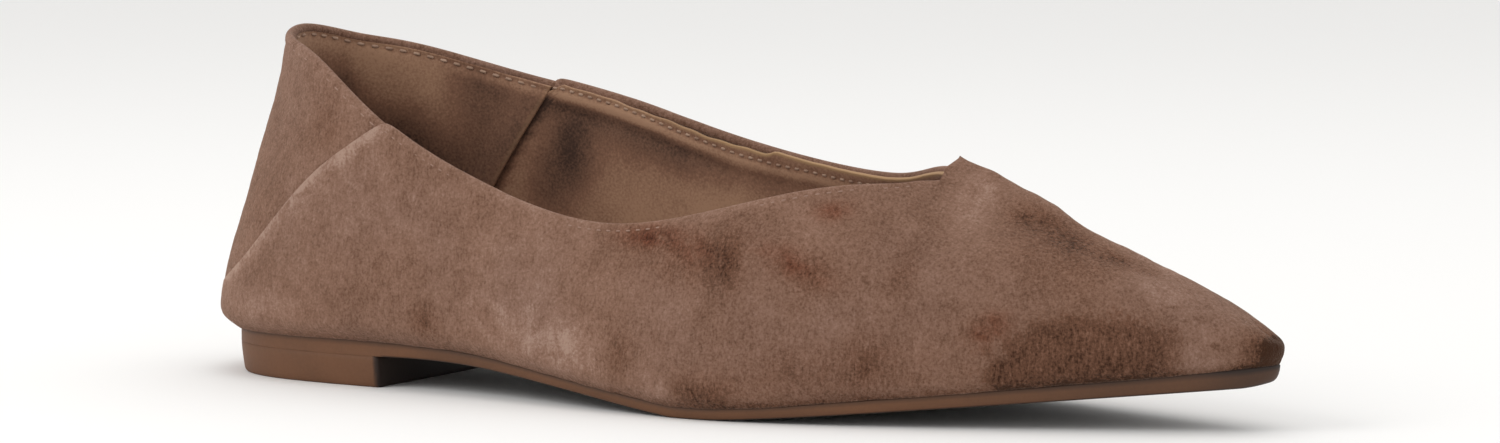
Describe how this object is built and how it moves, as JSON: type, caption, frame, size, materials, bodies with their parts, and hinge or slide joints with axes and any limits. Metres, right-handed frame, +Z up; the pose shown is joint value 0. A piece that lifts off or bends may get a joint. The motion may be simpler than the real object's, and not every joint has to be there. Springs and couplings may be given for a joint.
{
  "type": "ballet flat",
  "caption": "Pointed suede ballet flat for the right foot: hollow low-cut upper with a high V back, thin flexible sole and low heel block.",
  "frame": {"origin": "middle of the shoe's footprint on the floor", "axes": "+X from heel to toe, +Y to the inner side of the foot, +Z up"},
  "size_m": [0.2666, 0.0814, 0.0813],
  "materials": {
    "suede": "brushed taupe suede nap, matt and mottled",
    "insole_leather": "smooth matt lining leather",
    "sole_rubber": "smooth matt brown sheet rubber",
    "heel_rubber": "smooth matt brown rubber"
  },
  "bodies": {
    "root": {"upper": "suede", "insole": "insole_leather", "outsole": "sole_rubber", "heel": "heel_rubber"}
  },
  "joints": []
}
